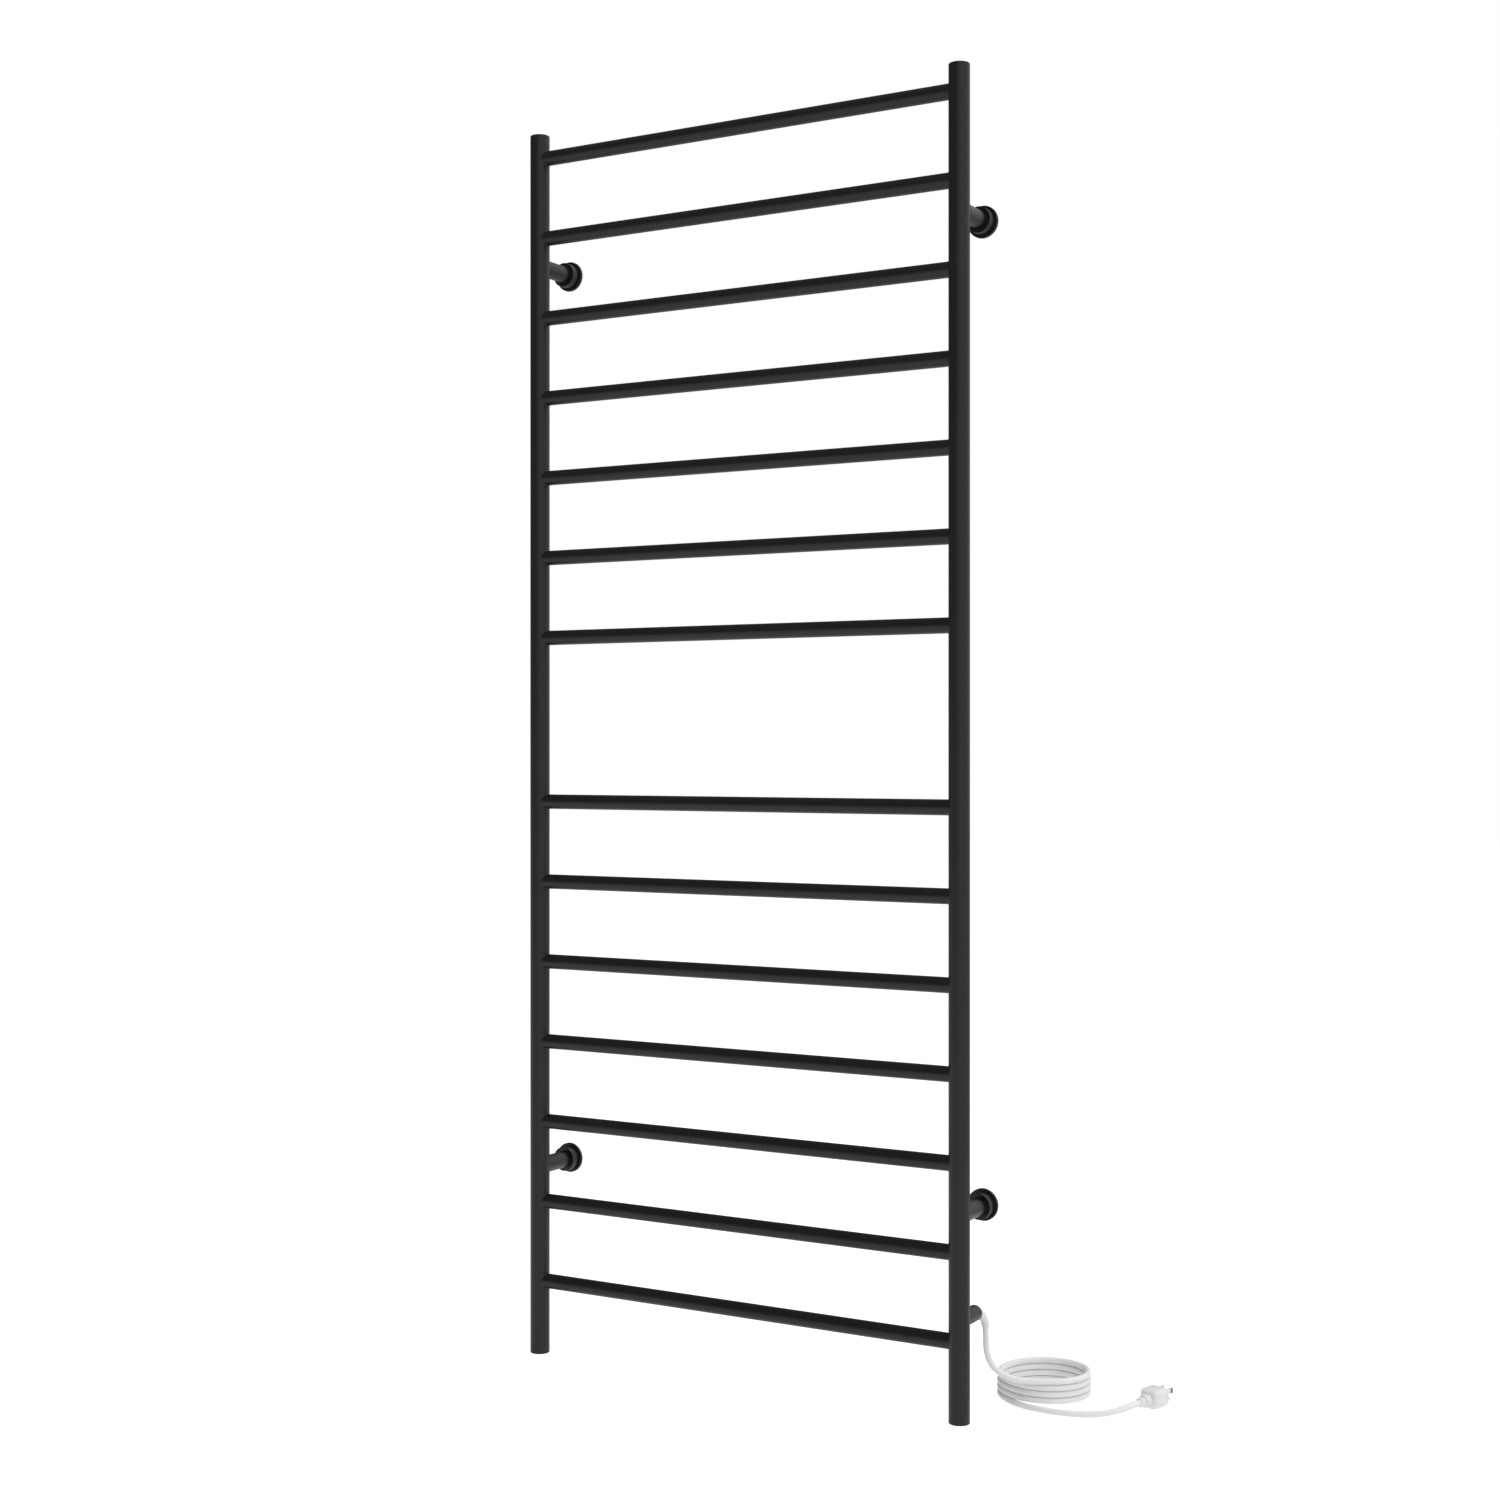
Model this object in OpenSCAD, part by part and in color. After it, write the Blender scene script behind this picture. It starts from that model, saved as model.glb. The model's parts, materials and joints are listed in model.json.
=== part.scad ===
// Electric towel warmer rack: two posts joined by two groups of round rungs, held off the wall
// by four covered brackets, with a dry heating cable inside and a mains cord from the right post.
// X runs along the wall, +Y into the wall, +Z up.
// The origin is the centre of the four wall screws, on the wall's surface.

/* [Rack] */
// Distance between the centres of the two posts
post_spacing = 604; // [450:1:800]
// Outside diameter of a post
post_d = 25.4; // [25.4:0.1:30]
// Wall thickness of a post
post_wall = 1.5; // [1.2:0.1:1.8]
// Outside diameter of a rung
rung_d = 19.05; // [18:0.05:20]
// Wall thickness of a rung
rung_wall = 1.25; // [1:0.05:1.5]
// Number of rungs in the upper group
upper_rungs = 7; // [3:2:9]
// Number of rungs in the lower group
lower_rungs = 7; // [3:2:9]
// Distance from one rung to the next
rung_pitch = 105; // [90:1:140]
// Distance between the last upper rung and the first lower rung
group_gap = 215; // [150:1:300]
// Post above the top rung
top_overhang = 31; // [30:1:60]
// Post below the bottom rung
bottom_overhang = 95; // [90:1:120]

/* [Wall brackets] */
// Height between the upper and the lower wall screws
screw_rise = 1184; // [900:1:1300]
// Distance from the top rung down to the upper wall screws
screw_drop = 141; // [130:1:160]
// Distance from the wall to the centres of the posts
wall_gap = 71; // [68:1:90]
// Outside diameter of a standoff tube
standoff_d = 22; // [20:0.1:23]
// Wall thickness of a standoff tube
standoff_wall = 1.5; // [1.2:0.1:1.6]
// Diameter of a cover's hub
hub_d = 32; // [32:0.1:36]
// Diameter of a cover's flange
flange_d = 39; // [38:0.1:44]
// Diameter of the hole for a wall screw
screw_hole_d = 5.5; // [4.5:0.1:6]

/* [Cord] */
// Diameter of the mains cord
cord_d = 7.6; // [6:0.1:8]
// Distance from the bottom rung up to the cable outlet
outlet_rise = 25; // [24:1:30]
// Length of the cable outlet behind the post's centre
outlet_reach = 45; // [40:1:50]
// Middle diameter of the coiled cord
coil_d = 107; // [95:1:120]
// Height of the coiled cord
coil_height = 37.3; // [20:0.1:50]

/* [Hidden] */
$fn = 48;
fit = 0.05;

// Places of the main pieces
rungs = upper_rungs + lower_rungs;
post_x = post_spacing / 2;
post_r = post_d / 2;
top_rung_z = screw_rise / 2 + screw_drop;
bottom_rung_z = top_rung_z - (rungs - 2) * rung_pitch - group_gap;
rack_top = top_rung_z + top_overhang;
rack_bottom = bottom_rung_z - bottom_overhang;
wire_hole_d = 15;

// End caps
cap_flange = 2;
cap_plug = 8;
cap_edge = 1;

// Brackets, measured out from the wall
flange_depth = 4.3;
hub_depth = 17.3;
lip_depth = 5;
cover_wall = 1.5;
cover_edge = 0.8;
standoff_end = 4.3;
spigot_base = 4;
spigot_length = 24;
ring_section = 2.4;

// Grub screws: place off the wall, size, distance of the tip from the spigot's axis, and the key's hole
grub_at = 9;
grub_d = 4.9;
grub_length = 4.6;
grub_tip = 8.9;
grub_key = 2.9;
grub_key_depth = 2.6;

// Cable outlet
outlet_z = bottom_rung_z + outlet_rise;
outlet_mouth = [post_x, outlet_reach - wall_gap, outlet_z];
outlet_wall = 1.5;
bush_length = 10;
bush_bore = 12.2;
relief_root_d = 12;
relief_inside = 8;
relief_lip = 0.8;
inner_cord = 12;
clamp_d = 15;
clamp_length = 6;
clamp_gap = 4;

// Heating cable, placed from a post's centre
cable_d = 4;
cable_bend = 6.5;
cable_back = 2;
cable_out = 4.5;
return_front = 6;

// Routes are offsets from the cable outlet's mouth
relief_route = [[0, -relief_inside, 0], [0, -6, 0], [0, 0, 0], [1, 9, -1.5], [4, 16, -9], [6, 18, -20]];
drop_route = [[6, 18, -20], [6.5, 18, -35], [7.5, 19, -51], [12, 23, -66], [21, 30, -77],
    [34, 37, -83.5], [50, 46, -86], [73, 58, -86.5]];
tail_route = [[14, 62, -116.2], [24, 54, -116.2], [43, 45, -116.2], [66, 41, -116.2], [90, 41, -116.2],
    [112, 46, -116.2], [132, 54, -115.5], [149, 64, -113], [160, 76, -110], [166, 86, -108.4],
    [168, 91, -108], [169, 94.5, -108], [170, 98, -108]];
coil_at = [46, 104, -120];
plug_at = [170, 98, -108];
plug_turn = 74;

// Wires are offsets from the right post's centre at the outlet's height
earth_drop = 103.2;
live_wire = [[-1.8, 25, 1.2], [-1.8, 22, 1.2], [-2.2, 18.5, 1.3], [-3, 15, 1.5], [-3.8, 11.5, 2],
    [-4.3, 8, 3], [-4.5, 5.2, 4.8], [-4.5, 3.1, 7.4], [-4.5, 2, 10.2], [-4.5, 2, 13]];
link_wire = [[-4.5, 2, 26], [-4.5, 2, 37]];
neutral_wire = [[1.8, 25, 1.2], [1.8, 22, 1.2], [1.5, 18, 1.3], [1.2, 14, 1.4], [0.8, 10, 1.4], [0.4, 6, 1.5],
    [0.1, 2, 1.9], [0, -1.6, 3.2], [0, -4.3, 5.6], [0, -5.7, 8.8], [0, -6, 12], [0, -6, 17]];
earth_wire = [[0, 25, -2], [0, 22, -2], [0, 18, -2.3], [0, 14, -2.7], [0, 10, -3.2], [0, 6, -3.9],
    [0, 2.2, -5], [0, -1.2, -6.8], [0, -4, -9.6], [0, -5.9, -13.2], [0, -6.8, -17.4], [0, -7, -22]];
earth_end = [0, -7, -earth_drop];
wire_d = 2.2;
cutout_z = 13;
cutout_length = 13;
cutout_d = 6.4;
live_splice_z = 37;
neutral_splice_z = 17;
splice_length = 16;
splice_d = 6;

// Earth tag and its screw on the right post's lower cap
tag_d = 9;
tag_plate = 0.8;
tag_tongue = [4, 8.8, tag_plate];
tag_crimp_at = 7;
tag_crimp_d = 3.6;
tag_hole_d = 4.2;
earth_screw_d = 4;
earth_screw_length = 5;
earth_head_d = 7;
earth_head = 2.4;
earth_slot = 1;

// Plug, along its own axis: a collar round the cord, a wider collar and the body
collar_length = 8;
collar_d = 11.4;
relief_length = 18;
relief_d = 14.8;
collar_edge = 1;
collar_groove = 0.8;
body_length = 25.5;
plug_face = relief_length + body_length;
body_w = 27.5;
body_half = 12;
section = 0.1;
shoulder = 6;
shoulder_inset = 4;
face_inset = 2;
top_r = 6;
low_r = 10.5;
blade_gap = 12.7;
blade_up = 4.5;
blade = [1.5, 16, 6.3];
blade_root = 6;
blade_hole_at = 11.7;
blade_hole_d = 3.2;
pin_d = 4.8;
pin_length = 19.1;
pin_down = 7.4;

sides = ["left", "right"];
corners = ["top_left", "top_right", "bottom_left", "bottom_right"];
function rung_name(i) = str("rung_", i < 10 ? "0" : "", i);

// Corner 0 to 3: top left, top right, bottom left, bottom right
function corner_x(c) = (c % 2 == 0 ? -1 : 1) * post_x;
function is_top(c) = c < 2;

function rung_z(i) = top_rung_z - (i - 1) * rung_pitch - (i > upper_rungs ? group_gap - rung_pitch : 0);

// A smooth curve through a route's points: the points before the first and after the last repeat them
function ends(p, i) = p[max(0, min(len(p) - 1, i))];
function curve(a, b, c, d, t) = (2 * b + (c - a) * t + (2 * a - 5 * b + 4 * c - d) * t * t
    + (3 * b - a - 3 * c + d) * t * t * t) / 2;
function smooth(p, steps) = concat(
    [for (i = [0:len(p) - 2], k = [0:steps - 1])
        curve(ends(p, i - 1), p[i], p[i + 1], ends(p, i + 2), k / steps)],
    [p[len(p) - 1]]);
function unit(v) = v / norm(v);
function heading(p, i) = unit(ends(p, i + 1) - ends(p, i - 1));
function ring(p, i, r, side, n) =
    let (t = heading(p, i), u = unit(cross(t, side)), w = cross(t, u))
    [for (k = [0:n - 1]) p[i] + r * (cos(360 * k / n) * u + sin(360 * k / n) * w)];

// A tube of n sides along p, from radius r1 to radius r2; side is a direction that p never takes
module swept(p, r1, r2, side, n = 12) {
    last = len(p) - 1;
    polyhedron(
        points = [for (i = [0:last]) each ring(p, i, r1 + (r2 - r1) * i / last, side, n)],
        faces = concat(
            [[for (k = [0:n - 1]) k]],
            [for (i = [0:last - 1], k = [0:n - 1]) let (j = i + 1, m = (k + 1) % n)
                each [[i * n + k, j * n + k, j * n + m], [i * n + k, j * n + m, i * n + m]]],
            [[for (k = [n - 1:-1:0]) last * n + k]]));
}

// Turns the inside so that its +Z points away from the wall
module off_wall(c) translate([corner_x(c), 0, is_top(c) ? screw_rise / 2 : -screw_rise / 2])
    rotate([90, 0, 0]) children();

// Puts the inside at the cable outlet's mouth
module at_mouth() translate(outlet_mouth) children();

// Puts the inside at the plug's cord end, with +Z along the plug
module along_plug() at_mouth() translate(plug_at) rotate([0, 0, plug_turn - 90]) rotate([-90, 0, 0])
    children();

// Puts the inside in the right post at the outlet's height
module in_post() translate([post_x, -wall_gap, outlet_z]) children();

module post(side) {
    bore = post_d - 2 * post_wall;
    color("#2a2a2b") translate([side * post_x, -wall_gap, 0]) difference() {
        translate([0, 0, rack_bottom + cap_flange])
            cylinder(d = post_d, h = rack_top - rack_bottom - 2 * cap_flange);
        translate([0, 0, rack_bottom]) cylinder(d = bore, h = rack_top - rack_bottom);
        for (i = [1:rungs]) translate([0, 0, rung_z(i)]) rotate([0, -90 * side, 0])
            cylinder(d = wire_hole_d, h = post_d);
        if (side > 0) translate([0, 0, outlet_z]) rotate([-90, 0, 0]) cylinder(d = wire_hole_d, h = post_d);
    }
}

module rung(i) {
    color("#2a2a2b") translate([0, -wall_gap, rung_z(i)]) difference() {
        rotate([0, 90, 0]) cylinder(d = rung_d, h = post_spacing - post_r, center = true);
        rotate([0, 90, 0]) cylinder(d = rung_d - 2 * rung_wall, h = post_spacing, center = true);
        for (side = [-1, 1]) translate([side * post_x, 0, 0])
            cylinder(r = post_r + fit, h = post_d, center = true);
    }
}

module end_cap(c) {
    r = post_r;
    color("#262627") translate([corner_x(c), -wall_gap, is_top(c) ? rack_top : rack_bottom])
        mirror([0, 0, is_top(c) ? 1 : 0]) difference() {
            rotate_extrude() polygon(concat(
                [[0, 0]],
                [for (a = [0:15:90]) [r - cap_edge + cap_edge * sin(a), cap_edge - cap_edge * cos(a)]],
                [[r, cap_flange], [r - post_wall - fit, cap_flange],
                 [r - post_wall - fit, cap_flange + cap_plug], [0, cap_flange + cap_plug]]));
            // The lower right cap takes the earth screw
            if (c == 3) translate([0, 0, cap_flange + cap_plug - earth_screw_length - 1])
                cylinder(d = earth_screw_d + 2 * fit, h = earth_screw_length + 2);
        }
}

module standoff(c) {
    color("#2a2a2b") off_wall(c) difference() {
        translate([0, 0, standoff_end]) cylinder(d = standoff_d, h = wall_gap - standoff_end);
        cylinder(d = standoff_d - 2 * standoff_wall, h = wall_gap);
        translate([0, 0, wall_gap]) rotate([90, 0, 0])
            cylinder(r = post_r + fit, h = 2 * post_d, center = true);
        translate([0, 0, grub_at]) rotate([90, 0, 0]) cylinder(d = grub_d + 2 * fit, h = standoff_d);
    }
}

module wall_spigot(c) {
    r = standoff_d / 2 - standoff_wall - 0.1;
    groove = 0.6;
    groove_width = grub_d + 0.5;
    color("#b9bcc0") off_wall(c) difference() {
        union() {
            cylinder(d = hub_d - 2 * cover_wall - 0.6, h = spigot_base);
            cylinder(r = r, h = spigot_length);
        }
        translate([0, 0, -1]) cylinder(d = screw_hole_d, h = spigot_length + 2);
        translate([0, 0, 2 * spigot_base]) cylinder(d = 2 * screw_hole_d, h = spigot_length);
        translate([0, 0, grub_at]) difference() {
            cylinder(r = r + 1, h = groove_width, center = true);
            cylinder(r = r - groove, h = groove_width + 2, center = true);
        }
    }
}

module grub_screws() {
    color("#55585c") for (c = [0:3]) off_wall(c) translate([0, 0, grub_at]) rotate([90, 0, 0])
        translate([0, 0, grub_tip]) difference() {
            cylinder(d = grub_d, h = grub_length);
            translate([0, 0, grub_length - grub_key_depth])
                cylinder(d = grub_key, h = grub_key_depth + 1, $fn = 6);
        }
}

module cover(c) {
    r = hub_d / 2;
    f = flange_d / 2;
    bore = standoff_d / 2 + 0.08;
    seat = ring_section + 0.2;
    middle = hub_depth - lip_depth / 2;
    color("#2a2a2b") off_wall(c) difference() {
        rotate_extrude() polygon(concat(
            [[bore, 0], [f - cover_edge, 0]],
            [[f, cover_edge / 2], [f, flange_depth - cover_edge]],
            [for (a = [0:15:90]) [f - cover_edge + cover_edge * cos(a),
                flange_depth - cover_edge + cover_edge * sin(a)]],
            [[r, flange_depth]],
            [for (a = [0:15:90]) [r - cover_edge + cover_edge * cos(a),
                hub_depth - cover_edge + cover_edge * sin(a)]],
            [[bore, hub_depth]]));
        translate([0, 0, -1]) cylinder(r = r - cover_wall, h = hub_depth - lip_depth + 1);
        translate([0, 0, middle - seat / 2]) cylinder(r = bore + seat - 0.1, h = seat);
    }
}

module cover_ring(c) {
    color("#1b1b1c") off_wall(c) translate([0, 0, hub_depth - lip_depth / 2])
        rotate_extrude() translate([standoff_d / 2 + 0.05 + ring_section / 2, 0]) circle(d = ring_section);
}

module cable_outlet() {
    color("#2a2a2b") translate([post_x, -wall_gap, outlet_z]) difference() {
        rotate([-90, 0, 0]) cylinder(d = rung_d, h = outlet_reach);
        rotate([-90, 0, 0]) cylinder(d = rung_d - 2 * outlet_wall, h = outlet_reach + 1);
        cylinder(r = post_r + fit, h = post_d, center = true);
    }
}

module outlet_bush() {
    color("#1f1f20") at_mouth() rotate([90, 0, 0]) difference() {
        cylinder(d = rung_d - 2 * outlet_wall - 2 * fit, h = bush_length);
        translate([0, 0, -1]) cylinder(d = bush_bore, h = bush_length + 2);
    }
}

module strain_relief() {
    color("#ecebe8") at_mouth()
        swept(smooth(relief_route, 4), relief_root_d / 2, cord_d / 2 + relief_lip, [1, -1, 0]);
}

module inner_cord() {
    color("#e6e5e2") at_mouth() rotate([90, 0, 0]) translate([0, 0, relief_inside])
        cylinder(d = cord_d, h = inner_cord);
}

module cord_clamp() {
    color("#8d9094") at_mouth() rotate([90, 0, 0]) translate([0, 0, relief_inside + clamp_gap])
        difference() {
            cylinder(d = clamp_d, h = clamp_length);
            translate([0, 0, -1]) cylinder(d = cord_d + 2 * fit, h = clamp_length + 2);
        }
}

module lead_wires() {
    r = wire_d / 2;
    in_post() {
        color("#3a2a22") swept(smooth(live_wire, 3), r, r, [1, 0, 0], 8);
        color("#3a2a22") swept(link_wire, r, r, [1, 0, 0], 8);
        color("#e8e8e4") swept(smooth(neutral_wire, 3), r, r, [1, 0, 0], 8);
        color("#3d8a4b") swept(concat(smooth(earth_wire, 3), [earth_end]), r, r, [1, 0, 0], 8);
    }
}

module thermal_cutout() {
    color("#c9c4b4") in_post() translate([-cable_out, cable_back, cutout_z])
        cylinder(d = cutout_d, h = cutout_length);
}

module splice_sleeves() {
    color("#7c2f2c") in_post() {
        translate([-cable_out, cable_back, live_splice_z]) cylinder(d = splice_d, h = splice_length);
        translate([0, -return_front, neutral_splice_z]) cylinder(d = splice_d, h = splice_length);
    }
}

// The heating cable's middle line: from the live splice over and down into the bottom rung, through
// every rung in turn and up, then over inside the right post and down it to the neutral splice
cable_lead = 1;
cable_x = post_x + cable_out;
cable_turn = cable_x - cable_bend;
cable_start_z = outlet_z + live_splice_z + splice_length;
cable_end_z = outlet_z + neutral_splice_z + splice_length;
cable_top_z = top_rung_z + cable_bend + 2;
return_at = [post_x, -return_front - cable_back];
quarter = [0:30:90];

// Out of rung i's right end or left end (side 1 or -1) and upwards
function cable_up(i, side) = [for (a = quarter)
    [side * (cable_turn + cable_bend * sin(a)), 0, rung_z(i) + cable_bend * (1 - cos(a))]];

// Upwards into rung i's right end or left end
function cable_in(i, side) = [for (a = quarter)
    [side * (cable_turn + cable_bend * cos(a)), 0, rung_z(i) - cable_bend * (1 - sin(a))]];

// Over the top from a to b, given in X and Y
function cable_over(a, b, z) = [for (t = [180:-30:0])
    concat((a + b) / 2 + (b - a) / 2 * cos(t), z + norm(b - a) / 2 * sin(t))];

cable_path = concat(
    [[post_x - cable_out, 0, cable_start_z]],
    cable_over([post_x - cable_out, 0], [cable_x, 0], cable_start_z + cable_lead),
    [for (a = quarter)
        [cable_turn + cable_bend * cos(a), 0, bottom_rung_z + cable_bend * (1 - sin(a))]],
    [for (i = [rungs:-1:2]) let (side = i % 2 == 0 ? -1 : 1)
        each concat(cable_up(i, side), cable_in(i - 1, side))],
    cable_up(1, 1),
    cable_over([cable_x, 0], return_at, cable_top_z),
    [concat(return_at, cable_end_z)]);

module heating_cable() {
    color("#b4473f") translate([0, cable_back - wall_gap, 0])
        swept(cable_path, cable_d / 2, cable_d / 2, [0, 1, 0], 8);
}

// Puts the inside on the right post's lower cap, inside the post
module on_cap() translate([post_x, -wall_gap, rack_bottom + cap_flange + cap_plug]) children();

module earth_tag() {
    crimp = outlet_z - earth_drop - rack_bottom - cap_flange - cap_plug;
    color("#c3c5c8") on_cap() difference() {
        union() {
            cylinder(d = tag_d, h = tag_plate);
            translate([-tag_tongue[0] / 2, -tag_tongue[1], 0]) cube(tag_tongue);
            translate([0, -tag_crimp_at, 0]) cylinder(d = tag_crimp_d, h = crimp);
        }
        translate([0, 0, -1]) cylinder(d = tag_hole_d, h = tag_plate + 2);
    }
}

module earth_screw() {
    head = tag_plate + earth_head;
    color("#c3c5c8") on_cap() difference() {
        union() {
            translate([0, 0, tag_plate]) cylinder(d = earth_head_d, h = earth_head);
            translate([0, 0, -earth_screw_length])
                cylinder(d = earth_screw_d, h = earth_screw_length + head);
        }
        translate([-earth_head_d, -earth_slot / 2, head - earth_slot])
            cube([2 * earth_head_d, earth_slot, 2 * earth_slot]);
    }
}

module cord_drop() {
    color("#e6e5e2") at_mouth() swept(smooth(drop_route, 3), cord_d / 2, cord_d / 2, [1, -1, 0]);
}

module cord_coil() {
    edge = cord_d / 2;
    color("#e6e5e2") at_mouth() translate(coil_at) rotate_extrude() polygon(concat(
        [for (a = [180:15:360]) [coil_d / 2 + edge * cos(a), edge + edge * sin(a)]],
        [for (a = [0:15:180]) [coil_d / 2 + edge * cos(a), coil_height - edge + edge * sin(a)]]));
}

module cord_tail() {
    color("#e6e5e2") at_mouth() swept(smooth(tail_route, 3), cord_d / 2, cord_d / 2, [0, 0, 1]);
}

// Half outline of a collar from s1 to s2 along the plug, with rounded edges
function collar(s1, s2, r) = concat(
    [for (a = [0:30:90]) [r - collar_edge * (1 - sin(a)), s1 + collar_edge * (1 - cos(a))]],
    [for (a = [0:30:90]) [r - collar_edge * (1 - cos(a)), s2 - collar_edge * (1 - sin(a))]]);

module plug_relief() {
    color("#efeeec") along_plug() rotate_extrude() polygon(concat(
        [[0, 0]],
        collar(0, collar_length, collar_d / 2),
        collar(collar_length, relief_length - collar_groove, relief_d / 2),
        [[relief_d / 2 - collar_edge, relief_length], [0, relief_length]]));
}

// A thin section of the plug's body: s along it, drawn in by an inset, with rounder lower corners
module plug_section(s, inset) {
    top = min(top_r, body_half - inset);
    low = min(low_r, body_half - inset);
    translate([0, 0, s]) linear_extrude(section) hull() for (side = [-1, 1]) {
        translate([side * (body_w / 2 - inset - top), -(body_half - inset - top)]) circle(top, $fn = 32);
        translate([side * (body_w / 2 - inset - low), body_half - inset - low]) circle(low, $fn = 32);
    }
}

// The two blades' shape, grown by a clearance
module blades(gap) for (side = [-1, 1])
    translate([side * blade_gap / 2, -blade_up, plug_face - blade_root])
    linear_extrude(blade[1] + blade_root)
    square([blade[0] + 2 * gap, blade[2] + 2 * gap], center = true);

module plug_body() {
    color("#f1f0ee") along_plug() difference() {
        hull() {
            plug_section(relief_length, shoulder_inset);
            plug_section(relief_length + shoulder / 3, shoulder_inset / 2.5);
            plug_section(relief_length + shoulder, 0);
            plug_section(plug_face - 2 * face_inset, 0);
            plug_section(plug_face - section, face_inset);
        }
        blades(fit);
        translate([0, pin_down, plug_face - blade_root])
            cylinder(d = pin_d + 2 * fit, h = 2 * blade_root);
    }
}

module plug_blades() {
    color("#a9abae") along_plug() difference() {
        blades(0);
        translate([0, -blade_up, plug_face + blade_hole_at]) rotate([0, 90, 0])
            cylinder(d = blade_hole_d, h = 2 * blade_gap, center = true);
    }
}

module plug_pin() {
    straight = blade_root + pin_length - pin_d / 2;
    color("#a9abae") along_plug() translate([0, pin_down, plug_face - blade_root]) {
        cylinder(d = pin_d, h = straight);
        translate([0, 0, straight]) sphere(d = pin_d);
    }
}

for (s = [0, 1]) post(2 * s - 1);
for (i = [1:rungs]) rung(i);
for (c = [0:3]) end_cap(c);
for (c = [0:3]) standoff(c);
for (c = [0:3]) wall_spigot(c);
for (c = [0:3]) cover(c);
for (c = [0:3]) cover_ring(c);
grub_screws();
cable_outlet();
outlet_bush();
cord_clamp();
inner_cord();
lead_wires();
thermal_cutout();
splice_sleeves();
heating_cable();
earth_tag();
earth_screw();
strain_relief();
cord_drop();
cord_coil();
cord_tail();
plug_relief();
plug_body();
plug_blades();
plug_pin();
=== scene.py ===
import json
import math

import bpy
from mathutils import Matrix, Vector


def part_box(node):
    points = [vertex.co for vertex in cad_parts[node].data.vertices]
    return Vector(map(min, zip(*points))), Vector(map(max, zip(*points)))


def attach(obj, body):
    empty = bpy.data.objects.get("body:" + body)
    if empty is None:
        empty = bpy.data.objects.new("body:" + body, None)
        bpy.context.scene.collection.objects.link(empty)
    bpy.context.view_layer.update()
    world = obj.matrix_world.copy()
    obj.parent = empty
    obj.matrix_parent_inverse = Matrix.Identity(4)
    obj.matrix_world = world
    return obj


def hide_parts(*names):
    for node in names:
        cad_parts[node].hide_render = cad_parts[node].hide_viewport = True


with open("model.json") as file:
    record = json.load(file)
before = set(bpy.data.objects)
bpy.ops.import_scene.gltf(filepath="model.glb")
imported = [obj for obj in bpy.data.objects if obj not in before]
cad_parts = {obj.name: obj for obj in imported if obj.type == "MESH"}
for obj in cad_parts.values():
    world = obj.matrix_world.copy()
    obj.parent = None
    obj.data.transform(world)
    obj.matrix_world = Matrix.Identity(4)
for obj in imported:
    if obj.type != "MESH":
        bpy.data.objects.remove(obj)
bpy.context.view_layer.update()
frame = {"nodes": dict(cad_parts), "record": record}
nodes = frame["nodes"]
mm = 0.001
near = 0.00001  # points closer than this count as one


def middle(node):
    low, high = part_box(node)
    return (low + high) / 2


# Places that the pieces are worked out from
postLow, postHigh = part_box("left_post")
postRadius = (postHigh.x - postLow.x) / 2
rungRadius = (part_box("rung_01")[1].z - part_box("rung_01")[0].z) / 2
standoffRadius = (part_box("standoff_top_left")[1].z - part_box("standoff_top_left")[0].z) / 2
outletMouth = Vector((middle("cable_outlet").x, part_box("cable_outlet")[1].y, middle("cable_outlet").z))
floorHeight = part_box("end_cap_bottom_left")[0].z

# Camera
view = {"place": (1.36126, -2.39818, -0.0442), "turn": 30.004, "lens": 51.864, "sensor": 36, "clipEnd": 60}
viewTurn = math.radians(view["turn"])

bpy.ops.object.camera_add(location=view["place"], rotation=(math.radians(90), 0, viewTurn))
camera = bpy.context.object
camera.name = "camera"
camera.data.lens = view["lens"]
camera.data.sensor_width = view["sensor"]
camera.data.clip_end = view["clipEnd"]
bpy.context.scene.camera = camera
print("camera placed")


class Signal:  # one output of a node tree, with the usual maths signs
    def __init__(self, tree, socket=None):
        self.tree = tree
        self.socket = socket

    def add(self, kind, settings=None, inputs=None, output=0):
        node = self.tree.nodes.new(kind)
        for key, value in (settings or {}).items():
            setattr(node, key, value)
        for key, value in (inputs or {}).items():
            if isinstance(value, Signal):
                self.tree.links.new(value.socket, node.inputs[key])
            else:
                node.inputs[key].default_value = value
        return Signal(self.tree, node.outputs[output] if node.outputs else None)

    def maths(self, operation, first, second):
        return self.add("ShaderNodeMath", {"operation": operation}, {0: first, 1: second})

    def __add__(self, other):
        return self.maths("ADD", self, other)

    def __radd__(self, other):
        return self.maths("ADD", other, self)

    def __sub__(self, other):
        return self.maths("SUBTRACT", self, other)

    def __rsub__(self, other):
        return self.maths("SUBTRACT", other, self)

    def __mul__(self, other):
        return self.maths("MULTIPLY", self, other)

    def __rmul__(self, other):
        return self.maths("MULTIPLY", other, self)


def blendColors(amount, first, second):
    return amount.add("ShaderNodeMix", {"data_type": "RGBA"}, {0: amount, 6: first, 7: second}, 2)


def alongAxis(vector, axis):  # how far a vector reaches along an axis
    return vector.add("ShaderNodeVectorMath", {"operation": "DOT_PRODUCT"}, {0: vector, 1: axis}, "Value")


def smoothStep(signal, low, high):
    settings = {"interpolation_type": "SMOOTHSTEP"}
    return signal.add("ShaderNodeMapRange", settings, {"Value": signal, "From Min": low, "From Max": high})


def patches(place, size, detail=2.0, rough=0.5):  # soft cloudy pattern with lumps of that size
    values = {"Vector": place, "Scale": 1 / size, "Detail": detail, "Roughness": rough}
    return place.add("ShaderNodeTexNoise", None, values)


def newFinish(name):
    material = bpy.data.materials.new(name)
    material.use_nodes = True
    material.node_tree.nodes.clear()
    start = Signal(material.node_tree)
    return material, start, start.add("ShaderNodeTexCoord", output="Object")


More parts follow.
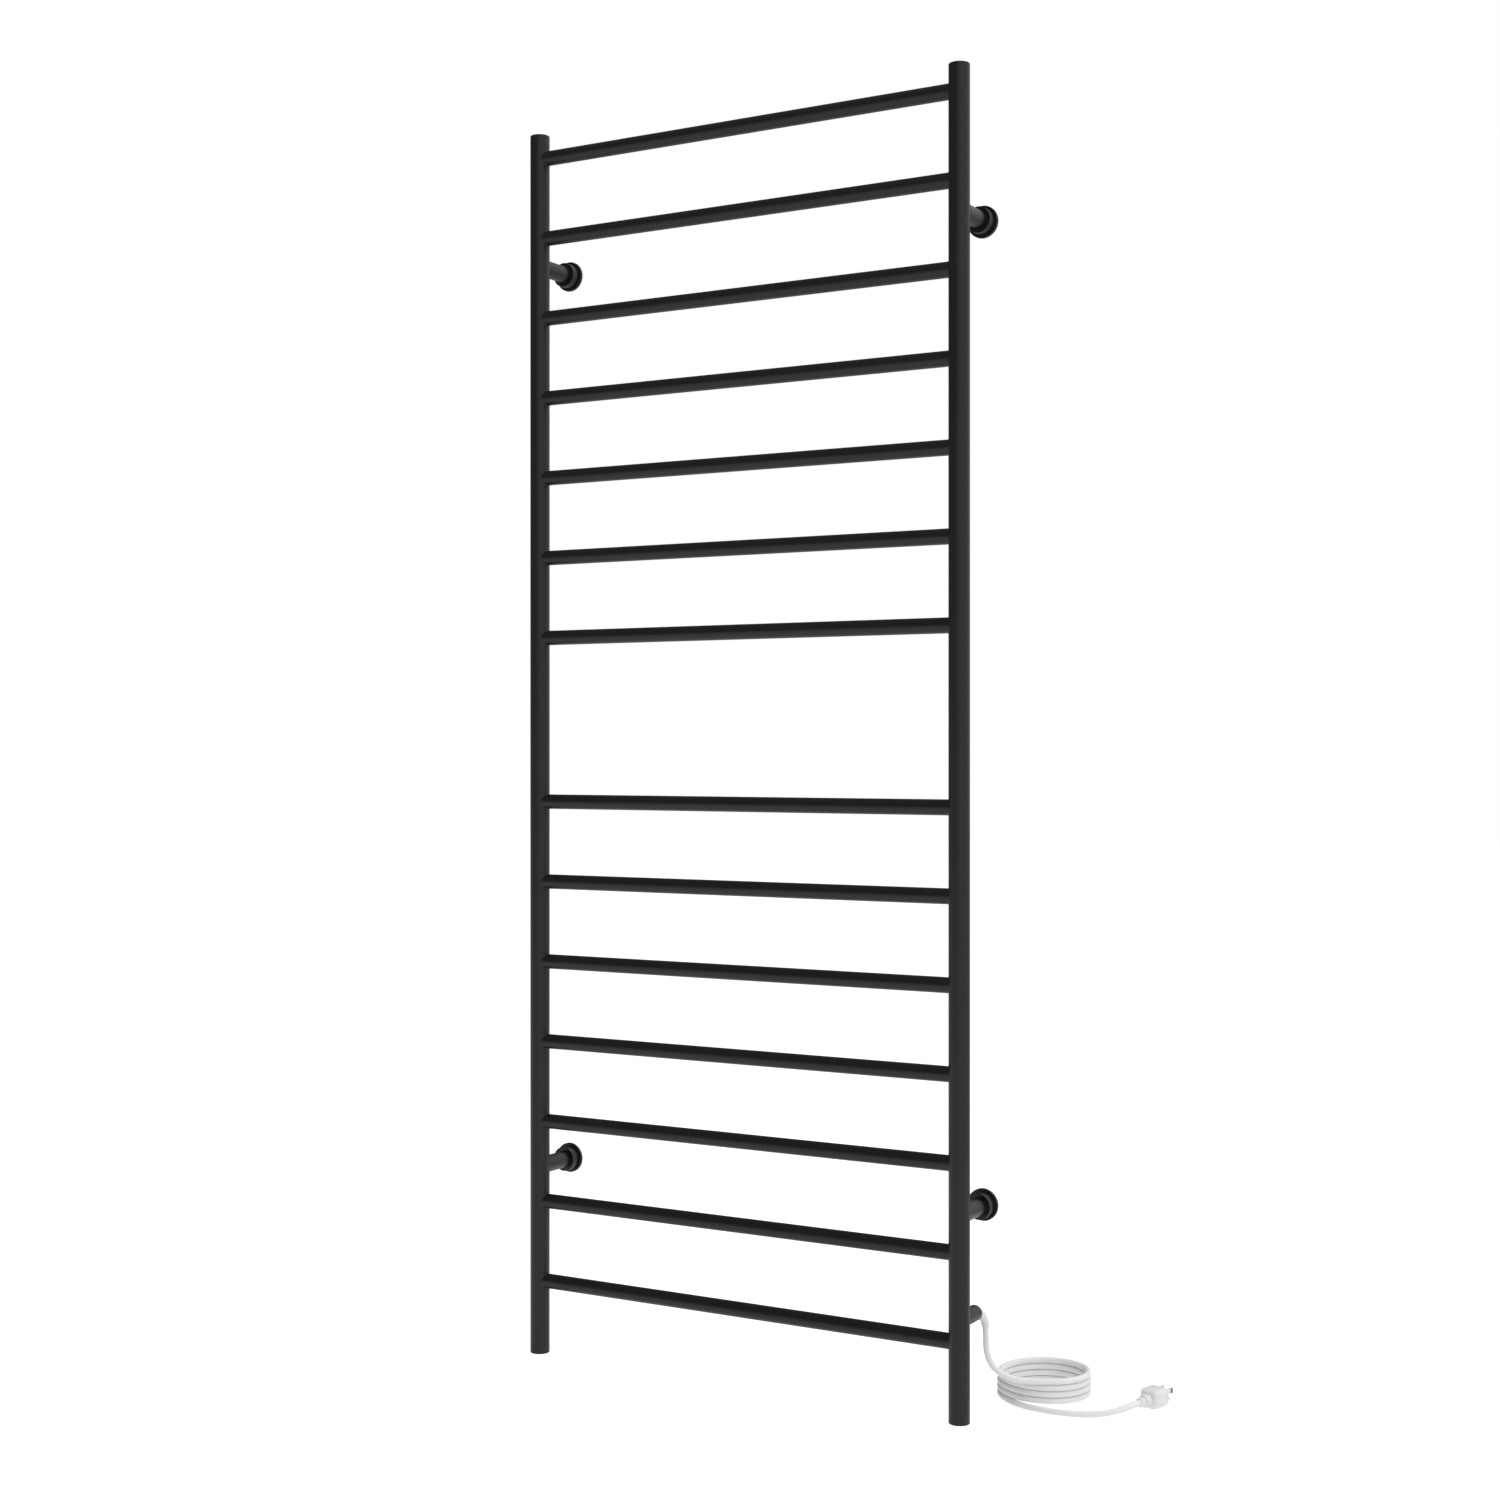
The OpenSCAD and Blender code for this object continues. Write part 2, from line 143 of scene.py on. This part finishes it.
def closeFinish(start, values):
    surface = start.add("ShaderNodeBsdfPrincipled", None, values)
    start.add("ShaderNodeOutputMaterial", None, {"Surface": surface})


def rgb(*parts):
    return (*parts, 1)


def grey(shade):
    return (shade, shade, shade, 1)


# Finishes
def powderCoat(name, look):
    material, start, place = newFinish(name)
    peel = patches(place, look["peelSize"], 1.0)
    grain = patches(place, look["grainSize"], 2.0)
    clouds = patches(place, look["cloudSize"], 3.0)
    height = peel * look["peelShare"] + grain * (1 - look["peelShare"])
    bump = start.add("ShaderNodeBump", None, {"Height": height, "Distance": look["peelDepth"]})
    closeFinish(start, {
        "Base Color": blendColors(clouds, rgb(*look["dark"]), rgb(*look["light"])),
        "Roughness": (look["roughness"] + (clouds - 0.5) * look["roughnessSpread"]
                      + (grain - 0.5) * look["grainSpread"]),
        "IOR": look["ior"],
        "Normal": bump,
    })
    return material


def softPlastic(name, look):
    material, start, place = newFinish(name)
    clouds = patches(place, look["cloudSize"], 3.0)
    grain = patches(place, look["grainSize"], 2.0)
    bump = start.add("ShaderNodeBump", None, {"Height": grain, "Distance": look["grainDepth"]})
    closeFinish(start, {
        "Base Color": blendColors(clouds, rgb(*look["dark"]), rgb(*look["light"])),
        "Roughness": look["roughness"] + (clouds - 0.5) * look["roughnessSpread"],
        "IOR": 1.5,
        "Subsurface Weight": look["glow"],
        "Subsurface Radius": (0.0015, 0.0015, 0.0014),
        "Subsurface Scale": 1.0,
        "Normal": bump,
    })
    return material


def platedMetal(name, look):
    material, start, place = newFinish(name)
    brushed = patches(place, look["grainSize"], 4.0, 0.6)
    clouds = patches(place, look["cloudSize"], 3.0)
    bump = start.add("ShaderNodeBump", None, {"Height": brushed, "Distance": look["grainDepth"]})
    closeFinish(start, {
        "Base Color": blendColors(clouds, rgb(*look["dark"]), rgb(*look["light"])),
        "Metallic": 1.0,
        "Roughness": look["roughness"] + (brushed - 0.5) * look["roughnessSpread"],
        "Normal": bump,
    })
    return material


def nickelWithPaintedReflection(name, look):  # nickel blades with a painted dark reflection towards the tip, where the roughness also rises
    material, start, place = newFinish(name)
    offset = start.add("ShaderNodeVectorMath", {"operation": "SUBTRACT"}, {0: place, 1: look["start"]},
                       "Vector")
    height = start.add("ShaderNodeSeparateXYZ", None, {"Vector": offset}, "Z")
    # painted dark reflection: the mask darkens each blade towards its tip, fully on the right blade and
    # partly on the left
    paintedReflection = smoothStep(alongAxis(offset, look["axis"]), look["reflectionFrom"], look["reflectionTo"])
    paintedReflection = paintedReflection * smoothStep(height, 0, look["lowFade"])
    right = smoothStep(alongAxis(offset, look["across"]), 0, look["sideFade"])
    paintedReflection = paintedReflection * (look["leftBladeReflection"] + right * (1 - look["leftBladeReflection"]))
    brushed = patches(place, look["grainSize"], 4.0, 0.6)
    bright = blendColors(brushed, rgb(*look["dark"]), rgb(*look["light"]))
    bump = start.add("ShaderNodeBump", None, {"Height": brushed, "Distance": look["grainDepth"]})
    closeFinish(start, {
        "Base Color": blendColors(paintedReflection, bright, rgb(*look["paintedReflection"])),
        "Metallic": 1.0,
        "Roughness": (look["roughness"] + (brushed - 0.5) * look["roughnessSpread"]
                      + paintedReflection * look["tipRoughness"]),
        "Normal": bump,
    })
    return material


# The plug's start is in millimetres from the outlet's mouth, and its turn in degrees from +X
plugPlace = {"start": (170, 98, -108), "turn": 74}
plugStart = outletMouth + Vector(plugPlace["start"]) * mm
plugTurn = math.radians(plugPlace["turn"])

tubeCoat = {"dark": (0.006, 0.006, 0.0062), "light": (0.0085, 0.0085, 0.0088), "roughness": 0.37,
            "roughnessSpread": 0.08, "grainSpread": 0.06, "ior": 1.45, "peelSize": 0.0016, "peelShare": 0.75,
            "grainSize": 0.0004, "cloudSize": 0.05, "peelDepth": 0.00003}
rungCoat = dict(tubeCoat, roughness=0.36, peelSize=0.0014)
bracketCoat = dict(tubeCoat, roughness=0.33, peelSize=0.0011, cloudSize=0.02)
zinc = {"dark": (0.50, 0.51, 0.53), "light": (0.62, 0.63, 0.64), "roughness": 0.34, "roughnessSpread": 0.2,
        "grainSize": 0.0006, "grainDepth": 0.00001, "cloudSize": 0.006}
# the darker tip colour and the settings of its mask paint a dark reflection on the blades
nickel = {"dark": (0.84, 0.83, 0.81), "light": (0.93, 0.92, 0.9), "paintedReflection": (0.3, 0.3, 0.31), "roughness": 0.28,
          "roughnessSpread": 0.1, "tipRoughness": 0.15, "grainSize": 0.0006, "grainDepth": 0.000008,
          "start": tuple(plugStart), "axis": (math.cos(plugTurn), math.sin(plugTurn), 0),
          "across": (math.sin(plugTurn), -math.cos(plugTurn), 0),
          "reflectionFrom": 0.053, "reflectionTo": 0.0565, "leftBladeReflection": 0.35, "lowFade": 0.0005, "sideFade": 0.001}
sheath = {"dark": (0.84, 0.84, 0.84), "light": (0.9, 0.9, 0.9), "roughness": 0.42, "roughnessSpread": 0.12,
          "cloudSize": 0.012, "grainSize": 0.0007, "grainDepth": 0.00003, "glow": 0.03}
relief = dict(sheath, dark=(0.82, 0.82, 0.82), light=(0.88, 0.88, 0.88), roughness=0.4)
plugShell = dict(sheath, dark=(0.82, 0.82, 0.82), light=(0.87, 0.87, 0.87), roughness=0.36, grainSize=0.001)
rubber = dict(sheath, dark=(0.012, 0.012, 0.012), light=(0.022, 0.022, 0.022), roughness=0.7, glow=0.0)
blackNylon = dict(rubber, dark=(0.015, 0.015, 0.016), light=(0.025, 0.025, 0.026), roughness=0.45)
sleeving = dict(rubber, dark=(0.2, 0.2, 0.2), light=(0.3, 0.3, 0.3), roughness=0.5)
ceramic = dict(rubber, dark=(0.66, 0.62, 0.52), light=(0.78, 0.75, 0.66), roughness=0.5)
shrinkTube = dict(rubber, dark=(0.22, 0.03, 0.025), light=(0.32, 0.05, 0.04), roughness=0.4)
silicone = dict(rubber, dark=(0.36, 0.07, 0.05), light=(0.47, 0.1, 0.07), roughness=0.6)

finishes = {
    "post_paint": powderCoat("postPowderCoat", tubeCoat),
    "rung_paint": powderCoat("rungPowderCoat", rungCoat),
    "bracket_paint": powderCoat("bracketPowderCoat", bracketCoat),
    "zinc_steel": platedMetal("zincPlate", zinc),
    "black_rubber": softPlastic("blackRubber", rubber),
    "black_plastic": softPlastic("blackNylon", blackNylon),
    "cord_sheath": softPlastic("whiteCordSheath", sheath),
    "relief_plastic": softPlastic("whiteReliefPvc", relief),
    "plug_plastic": softPlastic("whitePlugPvc", plugShell),
    # the blade finish carries a painted dark reflection at the tips
    "plug_metal": nickelWithPaintedReflection("nickelBladesPaintedReflection", nickel),
    "wire_sleeve": softPlastic("wireSleeving", sleeving),
    "cutout_ceramic": softPlastic("glazedCutout", ceramic),
    "splice_sleeve": softPlastic("shrinkSleeve", shrinkTube),
    "cable_silicone": softPlastic("redSilicone", silicone),
}
for row in frame["record"]["subparts"]:
    nodeMesh = nodes[row["node"]].data
    nodeMesh.materials.clear()
    nodeMesh.materials.append(finishes[row["material_slot"]])
print("finishes made:", len(finishes))


# Helpers for modelling
def deselectAll():
    bpy.ops.object.select_all(action="DESELECT")


def choose(piece):
    deselectAll()
    piece.select_set(True)
    bpy.context.view_layer.objects.active = piece


def pick(piece, part, test):  # selects vertices, edges or faces of a piece in edit mode by a test
    bpy.ops.object.mode_set(mode="OBJECT")
    mesh = piece.data
    for group in (mesh.vertices, mesh.edges, mesh.polygons):
        group.foreach_set("select", [False] * len(group))
    for item in {"VERT": mesh.vertices, "EDGE": mesh.edges, "FACE": mesh.polygons}[part]:
        item.select = bool(test(item))
    bpy.ops.object.mode_set(mode="EDIT")
    bpy.ops.mesh.select_mode(type=part)


def finishPiece(piece, name, slotName, angle):
    choose(piece)
    bpy.ops.object.transform_apply(location=True, rotation=True, scale=True)
    bpy.ops.object.shade_smooth_by_angle(angle=math.radians(angle))
    piece.name = name
    piece.data.materials.clear()
    piece.data.materials.append(finishes[slotName])
    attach(piece, "rack")


def applyModifier(piece, kind, settings):
    choose(piece)
    modifier = piece.modifiers.new(kind.lower(), kind)
    for key, value in settings.items():
        setattr(modifier, key, value)
    bpy.ops.object.modifier_apply(modifier=modifier.name)


def closeSkin(piece):  # merges doubles and turns every face outwards
    choose(piece)
    bpy.ops.object.mode_set(mode="EDIT")
    bpy.ops.mesh.select_all(action="SELECT")
    bpy.ops.mesh.remove_doubles(threshold=near)
    bpy.ops.mesh.normals_make_consistent(inside=False)
    bpy.ops.object.mode_set(mode="OBJECT")


# Mains cord: the two routes are in millimetres from the outlet's mouth
cord = {
    "thickness": 0.0076, "length": 1.6, "sideSteps": 5, "pathSteps": 8,
    "drop": [(6, 18, -20), (6.5, 18, -35), (7.5, 19, -51), (12, 23, -66), (21, 30, -77),
             (34, 37, -83.5), (50, 46, -86)],
    "coilMiddle": (46, 104, -120), "coilRadius": 53.5, "coilTop": 33.5, "coilStep": 7.75,
    "coilFacing": -60, "coilTurns": 3.78, "pointsPerTurn": 16,
    "tail": [(24, 54, -116.2), (43, 45, -116.2), (66, 41, -116.2), (90, 41, -116.2),
             (112, 46, -116.2), (132, 54, -115.5), (149, 64, -113), (160, 76, -110), (166, 86, -108.4),
             (168, 91, -108), (169, 94.5, -108), (170, 98, -108)],
}


def cordRoute():
    cx, cy, cz = cord["coilMiddle"]
    lowest = cord["thickness"] / 2 / mm
    route = list(cord["drop"])
    steps = round(cord["coilTurns"] * cord["pointsPerTurn"])
    for step in range(steps + 1):
        turned = cord["coilTurns"] * step / steps
        angle = math.radians(cord["coilFacing"] + 360 * turned)
        height = max(cord["coilTop"] - cord["coilStep"] * turned, lowest)
        route.append((cx + cord["coilRadius"] * math.cos(angle),
                      cy + cord["coilRadius"] * math.sin(angle), cz + height))
    return [outletMouth + Vector(point) * mm for point in route + cord["tail"]]


def makeCord(points):
    line = bpy.data.curves.new("mainsCord", "CURVE")
    line.dimensions = "3D"
    line.bevel_depth = cord["thickness"] / 2
    line.bevel_resolution = cord["sideSteps"]
    line.resolution_u = cord["pathSteps"]
    line.use_fill_caps = True
    spline = line.splines.new("BEZIER")
    spline.bezier_points.add(len(points) - 1)
    for knot, point in zip(spline.bezier_points, points):
        knot.co = point
        knot.handle_left_type = knot.handle_right_type = "AUTO"
    line.materials.append(finishes["cord_sheath"])
    piece = bpy.data.objects.new("mainsCord", line)
    bpy.context.scene.collection.objects.link(piece)
    return piece


cordPoints = cordRoute()
mainsCord = makeCord(cordPoints)
cordLength = sum((b - a).length for a, b in zip(cordPoints, cordPoints[1:]))
print("cord made, length", round(cordLength, 3))

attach(mainsCord, "rack")
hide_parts("cord_drop", "cord_coil", "cord_tail")

# Strain relief: a tapered sleeve along the cord's first bend, with a soft lip at its end
boot = {"route": [(0, -8, 0), (0, -4, 0), (0, 0, 0), (0.4, 5, -0.4), (1, 9, -1.5), (2.4, 13, -4.4),
                  (4, 16, -9), (5.2, 17.4, -14), (5.9, 17.9, -18), (6, 18, -20)],
        "radius": [5.9, 5.9, 5.9, 5.6, 5.4, 5.15, 4.95, 4.8, 4.75, 4.5],
        "lipRound": 0.5, "sideSteps": 6, "pathSteps": 6}

bootLine = bpy.data.curves.new("bootLine", "CURVE")
bootLine.dimensions = "3D"
bootLine.bevel_depth = mm
bootLine.bevel_resolution = boot["sideSteps"]
bootLine.resolution_u = boot["pathSteps"]
bootLine.use_fill_caps = True
spline = bootLine.splines.new("BEZIER")
spline.bezier_points.add(len(boot["route"]) - 1)
for knot, point, radius in zip(spline.bezier_points, boot["route"], boot["radius"]):
    knot.co = outletMouth + Vector(point) * mm
    knot.handle_left_type = knot.handle_right_type = "AUTO"
    knot.radius = radius
strainRelief = bpy.data.objects.new("strainRelief", bootLine)
bpy.context.scene.collection.objects.link(strainRelief)
choose(strainRelief)
bpy.ops.object.convert(target="MESH")
strainRelief = bpy.context.object
closeSkin(strainRelief)
applyModifier(strainRelief, "BEVEL", {"width": boot["lipRound"] * mm, "segments": 3,
                                      "limit_method": "ANGLE"})
finishPiece(strainRelief, "strainRelief", "relief_plastic", angle=50)
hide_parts("strain_relief")
print("strain relief made")

# Plug: the neck's outline is (distance along the plug, radius); the body's rings are (distance, drawn in by)
plug = {"width": 27.5, "half": 12, "topCorner": 6, "lowCorner": 10.5,
        "neck": [(0, 4.3), (0.2, 5.1), (0.8, 5.6), (1.4, 5.7), (3.1, 5.7), (3.4, 5.4), (3.6, 4.7),
                 (4.3, 4.7), (4.5, 5.4), (4.8, 5.7), (6.9, 5.7), (7.3, 5.4), (7.5, 4.7), (8.2, 4.7),
                 (8.3, 6.4), (8.6, 7.1), (9.3, 7.4), (11.4, 7.4), (11.8, 7.1), (12, 6), (12.9, 6),
                 (13.1, 7.1), (13.5, 7.4), (16.2, 7.4), (16.7, 7.1), (16.9, 6.2), (18.6, 6.2)],
        "body": [(17.8, 4.6), (18, 3.9), (18.6, 2.9), (19.6, 1.9), (21, 1), (22.4, 0.4), (24, 0), (32, 0),
                 (39.8, 0), (41.2, 0.3), (42.3, 0.9), (43.1, 1.7), (43.5, 2.6)],
        "faceEdge": 0.8, "faceSlope": 0.5, "faceRise": 0.4, "edgeRound": 0.12,
        "gripFrom": 24, "gripTo": 39.8, "gripEdge": 0.7, "gripSlope": 0.25, "gripDepth": 0.55}


def placeOnPlug(piece):
    piece.rotation_euler = (math.radians(-90), 0, math.radians(plugPlace["turn"] - 90))
    piece.location = plugStart


def drawAlong(steps):  # carries the selected face along Z through (distance, width factor, depth factor)
    for before, after in zip(steps, steps[1:]):
        bpy.ops.mesh.extrude_region_move(TRANSFORM_OT_translate={"value": (0, 0, after[0] - before[0])})
        bpy.ops.transform.resize(value=(after[1] / before[1], after[2] / before[2], 1),
                                 center_override=(0, 0, after[0]))


deselectAll()
bpy.ops.mesh.primitive_circle_add(vertices=48, radius=plug["neck"][0][1] * mm, fill_type="NGON")
plugNeck = bpy.context.object
bpy.ops.object.mode_set(mode="EDIT")
drawAlong([(along * mm, radius, radius) for along, radius in plug["neck"]])
bpy.ops.object.mode_set(mode="OBJECT")
closeSkin(plugNeck)
placeOnPlug(plugNeck)
finishPiece(plugNeck, "plugNeck", "relief_plastic", angle=55)
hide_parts("plug_relief")

deselectAll()
bpy.ops.mesh.primitive_plane_add(size=1)
plugBody = bpy.context.object
plugBody.scale = (plug["width"] * mm, 2 * plug["half"] * mm, 1)
bpy.ops.object.transform_apply(location=True, rotation=True, scale=True)
for corner, side in (("topCorner", -1), ("lowCorner", 1)):  # the plug's top is towards -Y here
    pick(plugBody, "VERT", lambda vertex: vertex.co.y * side > plug["half"] * mm - near)
    bpy.ops.mesh.bevel(offset=plug[corner] * mm, segments=9, affect="VERTICES")
rings = [(along * mm, plug["width"] - 2 * drawn, 2 * (plug["half"] - drawn)) for along, drawn in plug["body"]]
bpy.ops.mesh.select_all(action="SELECT")
bpy.ops.transform.resize(value=(rings[0][1] / plug["width"], rings[0][2] / plug["half"] / 2, 1),
                         center_override=(0, 0, 0))
bpy.ops.transform.translate(value=(0, 0, rings[0][0]))
drawAlong(rings)
bpy.ops.mesh.inset(thickness=plug["faceEdge"] * mm, depth=0)
bpy.ops.mesh.inset(thickness=plug["faceSlope"] * mm, depth=plug["faceRise"] * mm)
bpy.ops.object.mode_set(mode="OBJECT")
closeSkin(plugBody)


def onGrip(face):
    between = plug["gripFrom"] * mm - near < face.center.z < plug["gripTo"] * mm + near
    return between and abs(face.normal.x) > 0.5


pick(plugBody, "FACE", onGrip)
bpy.ops.mesh.inset(thickness=plug["gripEdge"] * mm, depth=0)
bpy.ops.mesh.inset(thickness=plug["gripSlope"] * mm, depth=-plug["gripDepth"] * mm)
bpy.ops.object.mode_set(mode="OBJECT")
applyModifier(plugBody, "BEVEL", {"width": plug["edgeRound"] * mm, "segments": 2, "limit_method": "ANGLE",
                                  "angle_limit": math.radians(35)})
placeOnPlug(plugBody)
finishPiece(plugBody, "plugBody", "plug_plastic", angle=35)
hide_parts("plug_body")
print("plug made")

# Welds: a small hollow fillet where each rung, standoff and the outlet meets its post
weld = {"leg": 1.3, "sides": 48, "steps": 5, "rootDepth": 0.4, "innerDepth": 0.6}


def distanceOut(point):  # from the X axis
    return math.hypot(point.y, point.z)


def makeFillet(branchRadius):  # lies round the X axis and meets a post that stands on the Z axis
    leg = weld["leg"] * mm
    root = weld["rootDepth"] * mm
    inner = weld["innerDepth"] * mm
    start = 3 * postRadius
    arc = [math.radians(90 * step / weld["steps"]) for step in range(weld["steps"] + 1)]
    rings = [(branchRadius + leg, -root)]
    rings += [(branchRadius + leg * (1 - math.sin(a)), leg * (1 - math.cos(a))) for a in arc]
    rings += [(branchRadius - root, leg), (branchRadius - inner, -root)]
    deselectAll()
    bpy.ops.mesh.primitive_circle_add(vertices=weld["sides"], radius=rings[0][0], fill_type="NOTHING",
                                      rotation=(0, math.radians(90), 0), location=(start, 0, 0))
    fillet = bpy.context.object
    bpy.ops.object.transform_apply(location=True, rotation=True, scale=True)
    bpy.ops.object.mode_set(mode="EDIT")
    bpy.ops.mesh.select_mode(type="EDGE")
    bpy.ops.mesh.select_all(action="SELECT")
    for before, after in zip(rings, rings[1:]):
        shrink = after[0] / before[0]
        bpy.ops.mesh.extrude_region_move()
        bpy.ops.transform.resize(value=(1, shrink, shrink), center_override=(start, 0, 0))
    bpy.ops.object.mode_set(mode="OBJECT")
    applyModifier(fillet, "SHRINKWRAP", {"target": postForm, "wrap_method": "PROJECT",
                                         "use_project_x": True, "use_positive_direction": False,
                                         "use_negative_direction": True})
    for radius, height in rings:
        pick(fillet, "VERT", lambda vertex: abs(distanceOut(vertex.co) - radius) < near)
        bpy.ops.transform.translate(value=(height, 0, 0))

    def onRim(edge):
        spread = [distanceOut(fillet.data.vertices[index].co) for index in edge.vertices]
        return any(all(abs(out - rim) < near for out in spread) for rim in (rings[0][0], rings[-1][0]))

    pick(fillet, "EDGE", onRim)
    bpy.ops.mesh.bridge_edge_loops()
    bpy.ops.object.mode_set(mode="OBJECT")
    closeSkin(fillet)
    return fillet


def copyWeld(master, place, turn):
    choose(master)
    bpy.ops.object.duplicate(linked=False)
    copy = bpy.context.object
    copy.rotation_euler = (0, 0, math.radians(turn))
    copy.location = place
    return copy


deselectAll()
bpy.ops.mesh.primitive_cylinder_add(vertices=256, radius=postRadius, depth=0.1)
postForm = bpy.context.object
rungFillet = makeFillet(rungRadius)
standoffFillet = makeFillet(standoffRadius)
welds = {"left": [], "right": []}
for side, turn in (("left", 0), ("right", 180)):
    axis = middle(side + "_post")
    for number in range(1, 15):
        height = middle("rung_%02d" % number).z
        welds[side].append(copyWeld(rungFillet, (axis.x, axis.y, height), turn))
    for level in ("top", "bottom"):
        height = middle("standoff_%s_%s" % (level, side)).z
        welds[side].append(copyWeld(standoffFillet, (axis.x, axis.y, height), 90))
    if side == "right":
        welds[side].append(copyWeld(rungFillet, (axis.x, axis.y, outletMouth.z), 90))
for side, copies in welds.items():
    deselectAll()
    for copy in copies:
        copy.select_set(True)
    bpy.context.view_layer.objects.active = copies[0]
    bpy.ops.object.join()
    finishPiece(copies[0], side + "PostWelds", "post_paint", angle=60)
deselectAll()
for helper in (postForm, rungFillet, standoffFillet):
    helper.select_set(True)
bpy.ops.object.delete()
print("welds made")

# Floor, lights and surroundings
studio = {"floorSize": 30, "floorShade": 0.4, "floorGlow": 0.9, "floorBounce": 0.56,
          "farBounce": 0.28, "farFrom": 0.2, "farTo": 1.2,
          "litSide": 0.85, "darkSide": 0.13, "litTurn": 101, "edge": 0.35,
          "behindDim": 0.5, "behindFrom": 0.7,
          "topPower": 60, "topSize": 3, "topHeight": 2.2, "topForward": 0.3}

deselectAll()
bpy.ops.mesh.primitive_plane_add(size=studio["floorSize"], location=(0, 0, floorHeight))
studioFloor = bpy.context.object
studioFloor.name = "studioFloor"
floorFinish, start, place = newFinish("paleFloor")
seen = start.add("ShaderNodeLightPath", output="Is Camera Ray")
depth = start.add("ShaderNodeSeparateXYZ", None, {"Vector": place}, "Y")
far = smoothStep(depth, studio["farFrom"], studio["farTo"])
bounce = blendColors(far, grey(studio["floorBounce"]), grey(studio["farBounce"]))
closeFinish(start, {"Base Color": grey(studio["floorShade"]), "Roughness": 0.9,
                    "Specular IOR Level": 0.1, "Emission Strength": 1.0,
                    "Emission Color": blendColors(seen, bounce, grey(studio["floorGlow"]))})
studioFloor.data.materials.append(floorFinish)

bpy.ops.object.light_add(type="AREA", location=(0, -studio["topForward"], studio["topHeight"]))
topLight = bpy.context.object
topLight.name = "topLight"
topLight.data.size = studio["topSize"]
topLight.data.energy = studio["topPower"]
topLight.visible_glossy = False

surroundings = bpy.data.worlds.new("softStudio")
bpy.context.scene.world = surroundings
surroundings.use_nodes = True
surroundings.node_tree.nodes.clear()
start = Signal(surroundings.node_tree)
direction = start.add("ShaderNodeTexCoord", output="Generated")
litTurn = math.radians(studio["litTurn"])
towardsLight = alongAxis(direction, (math.sin(litTurn), -math.cos(litTurn), 0))
behind = alongAxis(direction, (-math.sin(viewTurn), math.cos(viewTurn), 0))
lit = smoothStep(towardsLight, -studio["edge"], studio["edge"])
lit = lit * (1 - smoothStep(behind, studio["behindFrom"], 1) * studio["behindDim"])
glow = studio["darkSide"] + lit * (studio["litSide"] - studio["darkSide"])
seen = start.add("ShaderNodeLightPath", output="Is Camera Ray")
dome = start.add("ShaderNodeBackground", None, {"Color": rgb(1, 1, 1), "Strength": glow})
white = start.add("ShaderNodeBackground", None, {"Color": rgb(1, 1, 1), "Strength": 1.0})
start.add("ShaderNodeOutputWorld", None,
          {"Surface": start.add("ShaderNodeMixShader", None, {0: seen, 1: dome, 2: white})})
bpy.context.scene.view_settings.view_transform = "Standard"
print("studio lit")
